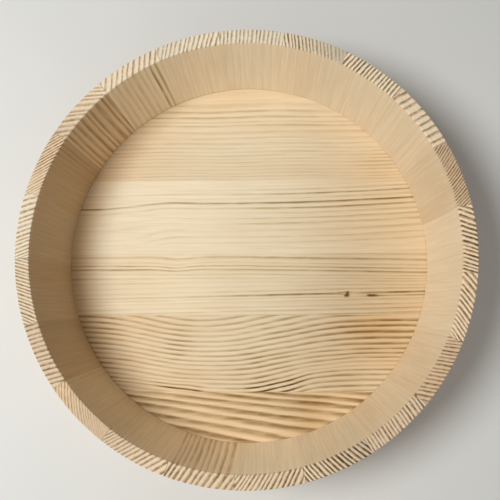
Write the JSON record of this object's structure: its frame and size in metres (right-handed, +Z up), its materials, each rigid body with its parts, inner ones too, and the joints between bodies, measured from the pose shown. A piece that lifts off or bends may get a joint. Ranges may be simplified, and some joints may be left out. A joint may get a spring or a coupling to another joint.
{
  "type": "sushi rice tub",
  "caption": "Low round wooden tub of tapered staves bound by copper hoops, with a boarded base let into a groove, for cooling and mixing rice.",
  "frame": {"origin": "centre of the circle that the tub stands on", "axes": "+Z up through the middle of the tub; X along the grain of the base boards; +Y from the narrow front base board to the wide back one"},
  "size_m": [0.3838, 0.3838, 0.095],
  "materials": {
    "stave_wood": "planed, unfinished softwood",
    "base_wood": "planed, unfinished softwood",
    "bamboo": "split and shaved bamboo",
    "copper": "rolled copper, lightly aged"
  },
  "bodies": {
    "root": {"stave_01": "stave_wood", "stave_02": "stave_wood", "stave_03": "stave_wood", "stave_04": "stave_wood", "stave_05": "stave_wood", "stave_06": "stave_wood", "stave_07": "stave_wood", "stave_08": "stave_wood", "stave_09": "stave_wood", "stave_10": "stave_wood", "stave_11": "stave_wood", "stave_12": "stave_wood", "stave_13": "stave_wood", "stave_14": "stave_wood", "stave_15": "stave_wood", "stave_16": "stave_wood", "stave_17": "stave_wood", "stave_18": "stave_wood", "stave_19": "stave_wood", "stave_20": "stave_wood", "stave_21": "stave_wood", "base_board_1": "base_wood", "base_board_2": "base_wood", "base_board_3": "base_wood", "base_board_4": "base_wood", "base_board_5": "base_wood", "stave_pegs": "bamboo", "base_pegs": "bamboo", "upper_hoop": "copper", "lower_hoop": "copper", "hoop_nails": "copper"}
  },
  "joints": []
}
